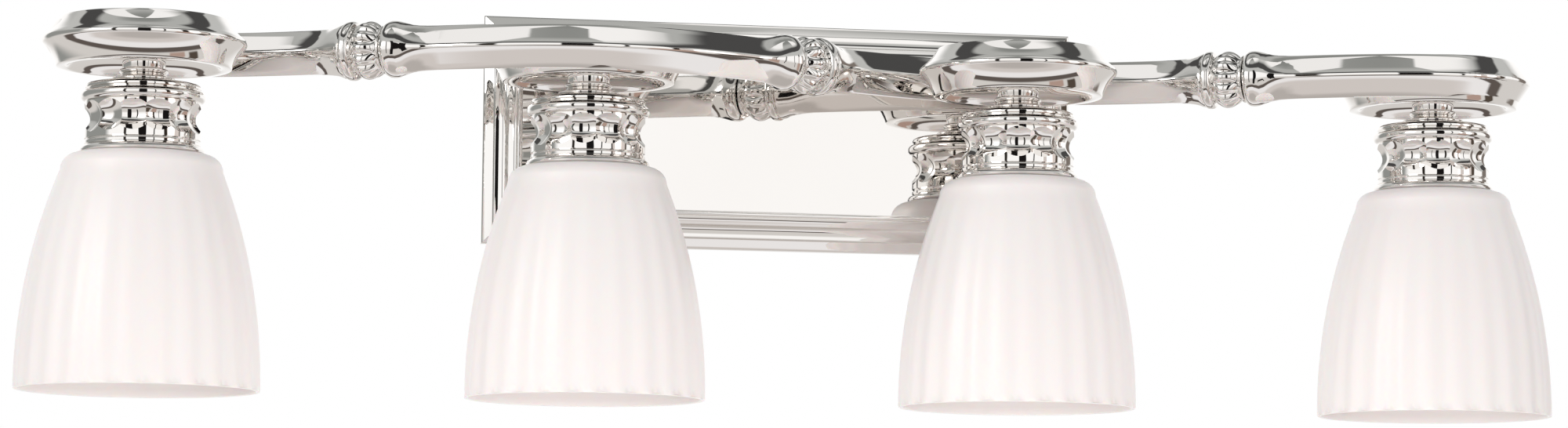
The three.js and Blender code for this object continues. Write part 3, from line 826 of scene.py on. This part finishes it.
def opalShade():
    size = shadeSizes
    rim = size["topHeight"] - size["height"]
    sideRows, shoulderRows = size["sideRows"], size["shoulderRows"]
    outer = [i / sideRows * size["shoulderShare"] for i in range(sideRows + 1)]
    outer += [size["shoulderShare"]
              + (1 - size["shoulderShare"]) * math.sin(math.pi / 2 * i / shoulderRows)
              for i in range(1, shoulderRows + 1)]
    outside = [[shadeRadius(share), rim + share * size["height"]] for share in outer]
    outside[0][1] += size["lipRise"]
    innerHeight = size["height"] - size["topWall"]
    inside = [[shadeRadius(share) - size["wall"], rim + share * innerHeight]
              for share in reversed(outer)]
    inside[-1][1] += size["lipRise"]
    lipMiddle = size["rim"] - size["wall"] / 2
    lip = [[lipMiddle - 1.1, rim + 0.25], [lipMiddle, rim], [lipMiddle + 1.1, rim + 0.25]]
    profile = [
        *outside,
        [size["hole"], size["topHeight"]],
        [size["hole"], size["topHeight"] - size["topWall"]],
        *inside,
        *lip,
    ]
    piece = turnProfile("shadeMaster", profile, size["flutes"] * size["perFlute"], bevel=0)

    def flute(share, radius, height):
        along = (height - rim) / size["height"]
        fade = max(0, 1 - along / size["fluteFade"]) ** 0.8
        return 1 - size["fluteDepth"] * fade * (1 - math.cos(math.pi * share)) / 2 / radius

    shapeColumns(piece, size["flutes"], size["perFlute"], outside[:sideRows], flute)
    smoothByAngle(piece, 40)
    return piece


placeAtLamps(opalShade(), "opalShade", "shade", finishes["opalGlass"], "opal_glass")
print("shades made")


# What holds the shades and bulbs

holderSizes = {
    "outer": 16.9, "bore": 14.3, "top": 7.4, "mouth": -46.3, "boreTop": -11.8, "hole": 5.9,
    "threads": 12, "pitch": 1.5, "threadDepth": 0.5}


def holderBody():
    size = holderSizes
    threads = []
    for i in range(size["threads"]):
        height = size["mouth"] + 2 + i * size["pitch"]
        threads += [[size["outer"], height],
                    [size["outer"] - size["threadDepth"], height + size["pitch"] / 2]]
    profile = [
        [size["bore"], size["mouth"]],
        [size["outer"] - 0.4, size["mouth"]],
        [size["outer"], size["mouth"] + 0.6],
        *threads,
        [size["outer"], size["mouth"] + 20.5],
        [size["outer"], size["top"] - 0.8],
        [size["outer"] - 0.8, size["top"]],
        [size["hole"], size["top"]],
        [size["hole"], size["top"] - 10],
        [3, size["top"] - 10],
        [3, size["boreTop"]],
        [size["bore"], size["boreTop"]],
    ]
    piece = turnProfile("holderMaster", profile, 72, bevel=0)
    smoothByAngle(piece)
    return piece


placeAtLamps(holderBody(), "socketBody", "lamp_holder", finishes["glazedPorcelain"], "porcelain")

ringNutSizes = {
    "outer": 24.2, "bore": 18.2, "top": -35.6, "thickness": 6, "notches": 24, "perNotch": 6,
    "notchDepth": 0.9}


def shadeRingNut():
    size = ringNutSizes
    top, bottom = size["top"], size["top"] - size["thickness"]
    knurl = [[size["outer"], bottom + 0.8], [size["outer"], bottom + 2.4],
             [size["outer"], top - 1.4]]
    profile = [
        [size["bore"], bottom],
        [size["outer"] - 0.8, bottom],
        *knurl,
        [size["outer"] - 0.9, top - 1],
        [size["outer"] - 0.9, top],
        [size["bore"], top],
    ]
    piece = turnProfile("ringNutMaster", profile, size["notches"] * size["perNotch"], bevel=0)

    def notch(share, radius, height):
        return 1 - size["notchDepth"] * max(0, share - 0.5) * 2 / radius

    shapeColumns(piece, size["notches"], size["perNotch"], knurl, notch)
    smoothByAngle(piece)
    return piece


placeAtLamps(shadeRingNut(), "shadeRingNut", "shade_ring", finishes["rawBrass"], "raw_brass",
             "shade_ring")
print("holders and shade rings made")


# Bulbs

bulbSizes = {
    "cap": 13.2, "capBottom": -43.3, "capLength": 24, "contact": 4.5, "glass": 30,
    "length": 81, "neck": 12.4, "threads": 6, "pitch": 2.5}


def bulbCapShell():
    size = bulbSizes
    bottom = size["capBottom"]
    top = bottom + size["capLength"]
    threads = []
    for i in range(size["threads"]):
        height = bottom + 3.2 + i * size["pitch"]
        threads += [[size["cap"], height], [size["cap"] - 0.2, height + 0.6],
                    [size["cap"] - 0.9, height + 1.25], [size["cap"] - 0.2, height + 1.9]]
    profile = [
        [3, bottom],
        [size["cap"] - 0.7, bottom],
        [size["cap"] - 0.3, bottom + 0.6],
        [size["cap"] - 0.3, bottom + 2.4],
        *threads,
        [size["cap"] - 0.6, top - 4.9],
        [size["contact"] + 3, top - 1.2],
        [size["contact"], top - 0.2],
        [size["contact"], top + 2.2],
        [size["contact"] - 1.4, top + 3],
        [1, top + 3],
    ]
    piece = turnProfile("capMaster", profile, 72, bevel=0, ends="points")
    smoothByAngle(piece)
    return piece


def bulbEnvelope():
    size = bulbSizes
    neckTop = size["capBottom"] - 0.3
    middle = size["capBottom"] - size["length"] + size["glass"]
    sphere = arcPoints((0, middle), size["glass"], 38, -86, 26)
    neck = curvePoints([size["neck"], neckTop - 4], [size["neck"] + 1, neckTop - 14], sphere[0], 10)
    profile = [[3, neckTop], [size["neck"] - 0.5, neckTop], [size["neck"], neckTop - 0.6],
               *neck, *sphere[1:]]
    piece = turnProfile("bulbMaster", profile, 72, bevel=0, ends="points")
    smoothByAngle(piece, 45)
    return piece


placeAtLamps(bulbCapShell(), "bulbScrewCap", "bulb_cap", finishes["rolledAluminium"],
             "bulb_cap", "bulb")
placeAtLamps(bulbEnvelope(), "bulbEnvelope", "bulb_glass", finishes["frostedBulb"],
             "frosted_bulb", "bulb")
print("bulbs made")


# Back plate: a flat face drawn forward, then inset step by step into its moulding

plateSizes = {"lip": 5, "wall": 1.5}
# each step of the moulding: [inset from the edge, height off the wall]
mouldingSteps = [
    [0.5, 6.1], [1.8, 7], [5.5, 8.9], [5.9, 9.3], [6.1, 10.9], [6.5, 11.1],
    *[[6.5 + 6.8 * math.sin(a), 15.3 - 4.2 * math.cos(a)] for a in (0.3, 0.6, 0.9, 1.2, 1.45)],
    [13.5, 16.3], [14.0, 16.6], [15.4, 17.9], [16.8, 18.7], [17.9, 19.0], [18.3, 18.5],
    *[[19.6 - 1.3 * math.cos(a), 18.7 + 1.3 * math.sin(a)] for a in (0.2, 0.7, 1.2, 1.7, 2.2, 2.7)],
    [21, 18], [21.5, 18], [24, 18]]


def mouldedPlate():
    deselectAll()
    spot = ((plateLow.x + plateHigh.x) / 2, 0, (plateLow.z + plateHigh.z) / 2)
    bpy.ops.mesh.primitive_plane_add(size=1, location=spot, rotation=(math.pi / 2, 0, 0))
    piece = bpy.context.object
    piece.name = "mouldedPlate"
    piece.scale = (plateHigh.x - plateLow.x, plateHigh.z - plateLow.z, 1)
    applyPlace(piece)
    bpy.ops.object.mode_set(mode="EDIT")
    bpy.ops.mesh.select_all(action="SELECT")
    lip = plateSizes["lip"]
    bpy.ops.mesh.extrude_region_move(TRANSFORM_OT_translate={"value": (0, -lip * mm, 0)})
    inset, height = 0, lip
    for nextInset, nextHeight in mouldingSteps:
        bpy.ops.mesh.inset(thickness=(nextInset - inset) * mm, depth=(nextHeight - height) * mm)
        inset, height = nextInset, nextHeight
    shape = bmesh.from_edit_mesh(piece.data)
    for face in shape.faces:
        face.select = abs(face.calc_center_median().y) < levelGap
    bmesh.update_edit_mesh(piece.data)
    bpy.ops.mesh.delete(type="FACE")
    outwardNormals()
    bpy.ops.object.mode_set(mode="OBJECT")
    softenEdges(piece, 0.18, angle=20)
    wall = piece.modifiers.new("wall", "SOLIDIFY")
    wall.thickness = plateSizes["wall"] * mm
    wall.offset = -1
    applyModifiers(piece)
    smoothByAngle(piece, 28)
    finishPiece(piece, finishes["polishedNickel"], "nickel", "fixture", "back_plate")


mouldedPlate()
print("back plate made")


# Carried-over frame pieces: rods, nuts, screws and the wall bracket

for name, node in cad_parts.items():
    if not node.hide_render:
        node.data.materials.clear()
        node.data.materials.append(finishes["zincSteel"])
print("frame pieces finished")


# Studio: a pale floor, soft lamps, and a surround of pale panels and dark strips for the metal

studioSizes = {"floor": -620, "floorHalf": 9000}


def studioFloor():
    deselectAll()
    bpy.ops.mesh.primitive_plane_add(size=2 * studioSizes["floorHalf"] * mm,
                                     location=(0, 0, studioSizes["floor"] * mm))
    floor = bpy.context.object
    floor.name = "studioFloor"
    paint = bpy.data.materials.new("floorPaint")
    paint.use_nodes = True
    shader = paint.node_tree.nodes["Principled BSDF"]
    shader.inputs["Base Color"].default_value = (0.86, 0.85, 0.84, 1)
    shader.inputs["Roughness"].default_value = 0.9
    # the metal mirrors the surround below it instead of the floor, and from below the floor is clear
    tree = paint.node_tree
    path = addNode(tree, "ShaderNodeLightPath")
    clear = addNode(tree, "ShaderNodeBsdfTransparent")
    side = addNode(tree, "ShaderNodeNewGeometry")
    either = addNode(tree, "ShaderNodeMath",
                     {0: path.outputs["Is Glossy Ray"], 1: side.outputs["Backfacing"]},
                     {"operation": "MAXIMUM"})
    both = addNode(tree, "ShaderNodeMixShader", {0: either.outputs[0]})
    tree.links.new(shader.outputs[0], both.inputs[1])
    tree.links.new(clear.outputs[0], both.inputs[2])
    tree.links.new(both.outputs[0], tree.nodes["Material Output"].inputs["Surface"])
    floor.data.materials.append(paint)


def softStep(tree, value, low, high):
    made = addNode(tree, "ShaderNodeMapRange", {"Value": value, "From Min": low, "From Max": high},
                   {"interpolation_type": "SMOOTHSTEP"})
    return made.outputs[0]


def studioWorld():
    world = bpy.data.worlds.new("studio")
    bpy.context.scene.world = world
    world.use_nodes = True
    tree = world.node_tree
    tree.nodes.clear()
    place = addNode(tree, "ShaderNodeTexCoord")
    split = addNode(tree, "ShaderNodeSeparateXYZ", {"Vector": place.outputs["Generated"]})
    back = addNode(tree, "ShaderNodeMath", {0: split.outputs["Y"], 1: -1}, {"operation": "MULTIPLY"})
    bearing = addNode(tree, "ShaderNodeMath", {0: split.outputs["X"], 1: back.outputs[0]},
                      {"operation": "ARCTAN2"}).outputs[0]
    height = split.outputs["Z"]

    def panel(left, right, low, high, soft):
        sides = [softStep(tree, bearing, left, left + soft),
                 softStep(tree, bearing, right, right - soft),
                 softStep(tree, height, low, low + soft),
                 softStep(tree, height, high, high - soft)]
        while len(sides) > 1:
            product = addNode(tree, "ShaderNodeMath", {0: sides.pop(), 1: sides.pop()},
                              {"operation": "MULTIPLY"})
            sides.append(product.outputs[0])
        return sides[0]

    # heights first, from the floor up to the ceiling
    room = (0.50, 0.47, 0.45)
    layers = [
        (-0.97, -0.90, (0.68, 0.64, 0.62)), (-0.87, -0.80, (0.90, 0.89, 0.90)),
        (-0.72, -0.69, (0.12, 0.10, 0.09)), (-0.62, -0.58, (0.70, 0.68, 0.66)),
        (-0.30, 0.00, (1.08, 1.08, 1.08)), (0.40, 0.60, (0.55, 0.56, 0.55)),
        (0.70, 0.73, (0.07, 0.07, 0.07)), (0.84, 0.89, (0.46, 0.47, 0.46)),
        (0.94, 0.995, (0.26, 0.27, 0.26))]
    for low, high, colour in layers:
        room = mixColour(tree, softStep(tree, height, low, high), room, colour)
    # then cards: [(left, right, low, high, softness), colour]
    cards = [
        [(-2.7, -1.2, -0.45, 0.66, 0.25), (0.30, 0.31, 0.30)],
        [(0.35, 1.5, 0.87, 1.2, 0.08), (1.0, 1.0, 1.0)],
        [(-1.7, -0.9, 0.80, 1.2, 0.08), (0.95, 0.95, 0.95)],
        [(-0.20, 0.08, -0.56, 0.62, 0.02), (0.010, 0.009, 0.009)],
        [(0.31, 0.37, -0.5, 0.5, 0.02), (0.03, 0.028, 0.025)],
        [(0.68, 0.86, -0.3, 0.58, 0.03), (0.035, 0.028, 0.022)],
        [(-0.72, -0.60, -0.5, 0.55, 0.03), (0.03, 0.026, 0.022)],
        [(1.05, 1.35, -0.6, 0.45, 0.06), (0.09, 0.07, 0.055)],
        [(1.75, 2.2, -0.3, 0.6, 0.1), (0.22, 0.19, 0.17)],
        [(0.55, 1.0, -0.62, -0.2, 0.06), (0.46, 0.33, 0.28)],
    ]
    for edges, colour in cards:
        room = mixColour(tree, panel(*edges), room, colour)
    path = addNode(tree, "ShaderNodeLightPath")
    seen = mixColour(tree, path.outputs["Is Glossy Ray"], (0.75, 0.75, 0.75), room)
    seen = mixColour(tree, path.outputs["Is Camera Ray"], seen, (1, 1, 1))
    glow = addNode(tree, "ShaderNodeBackground", {"Color": seen, "Strength": 1.0})
    leave = tree.nodes.new("ShaderNodeOutputWorld")
    tree.links.new(glow.outputs[0], leave.inputs["Surface"])


def softLamp(name, spot, aim, size, power, colour, mirrored=True):
    lamp = bpy.data.lights.new(name, "AREA")
    lamp.energy = power
    lamp.size = size
    lamp.color = colour
    holder = bpy.data.objects.new(name, lamp)
    holder.location = spot
    holder.rotation_euler = (Vector(aim) - Vector(spot)).to_track_quat("-Z", "Y").to_euler()
    holder.visible_camera = False
    holder.visible_glossy = mirrored
    bpy.context.scene.collection.objects.link(holder)


def studioCamera():
    # where the camera stands, where it looks as yaw, pitch and roll in radians, and its lens
    stand = {"x": -0.509, "y": -2.694, "z": -0.322, "yaw": 0.1883, "pitch": 0.101, "roll": 0.0088,
             "lens": 107.66}
    forward = Vector((math.sin(stand["yaw"]) * math.cos(stand["pitch"]),
                      math.cos(stand["yaw"]) * math.cos(stand["pitch"]), math.sin(stand["pitch"])))
    data = bpy.data.cameras.new("view")
    data.lens = stand["lens"]
    data.sensor_width = 36
    camera = bpy.data.objects.new("view", data)
    camera.location = (stand["x"], stand["y"], stand["z"])
    turn = forward.to_track_quat("-Z", "Y").to_matrix().to_4x4()
    camera.rotation_euler = (turn @ Matrix.Rotation(stand["roll"], 4, "Z")).to_euler()
    bpy.context.scene.collection.objects.link(camera)
    bpy.context.scene.camera = camera


studioFloor()
studioWorld()
softLamp("keyLamp", (-2.4, -1.5, 0.9), (0, 0, -0.08), 1.1, 17, (1, 0.985, 0.97))
softLamp("fillLamp", (2.2, -1.6, 0.2), (0, 0, -0.08), 1.4, 4, (1, 0.92, 0.89))
softLamp("riseLamp", (0, -0.25, -0.58), (0, -0.08, 0), 1.2, 4, (1, 0.97, 0.95), mirrored=False)
studioCamera()
bpy.context.scene.view_settings.view_transform = "Standard"
print("studio set")
